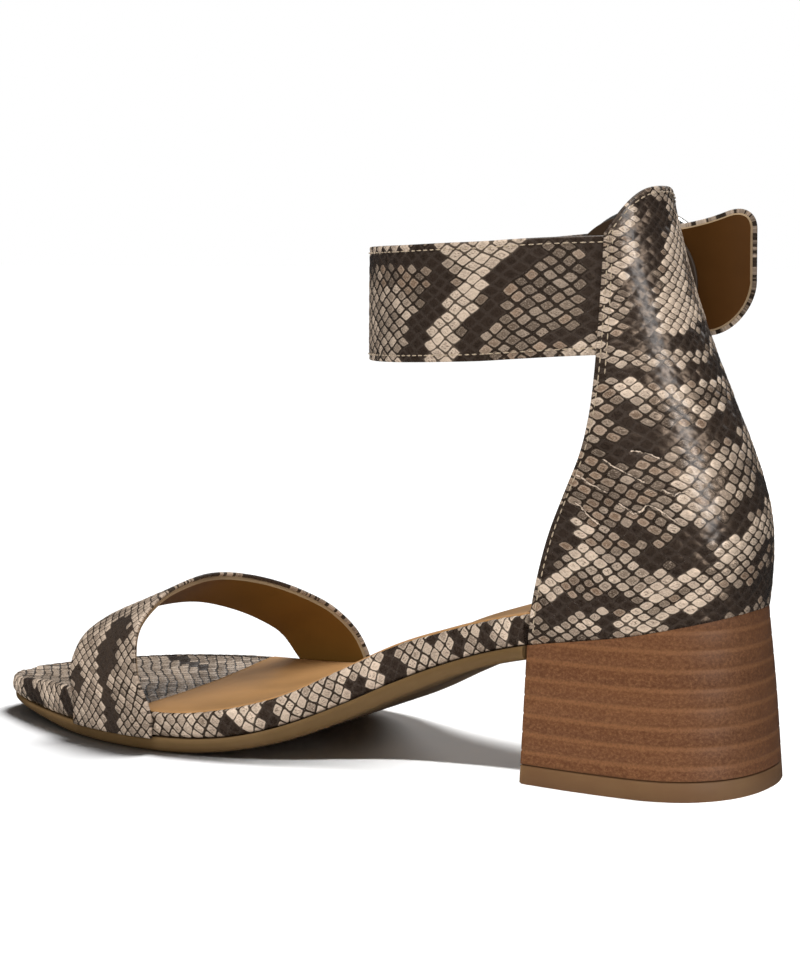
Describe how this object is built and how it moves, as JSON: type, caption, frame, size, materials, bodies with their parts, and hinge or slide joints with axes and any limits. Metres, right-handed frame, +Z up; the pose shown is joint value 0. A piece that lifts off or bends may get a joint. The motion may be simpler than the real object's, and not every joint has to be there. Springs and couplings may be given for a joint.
{
  "type": "dress sandal",
  "caption": "Right-foot dress sandal: low stacked block heel, wrapped footbed, toe strap, closed back and buckled ankle strap in a snake-print leather.",
  "frame": {"origin": "on the floor, at the middle of the heel's tread", "axes": "+X towards the toe, +Y towards the inner (medial) side of the foot, +Z up"},
  "size_m": [0.2364, 0.0895, 0.1504],
  "materials": {
    "printed_leather": "embossed snake print in cream, taupe and dark brown, glossy",
    "tan_leather": "smooth tan sock and lining, satin",
    "outsole_rubber": "brown-tan satin edge",
    "stacked_heel": "reddish brown stacked layers with lighter lines, satin",
    "lift_rubber": "olive tan, matte",
    "buckle_metal": "polished silver"
  },
  "bodies": {
    "root": {"outsole": "outsole_rubber", "midsole": "printed_leather", "insole": "tan_leather", "heel": "stacked_heel", "heel_top_lift": "lift_rubber", "vamp_strap": "printed_leather", "quarter_and_ankle_strap": "printed_leather", "buckle_frame": "buckle_metal", "buckle_prong": "buckle_metal"}
  },
  "joints": []
}
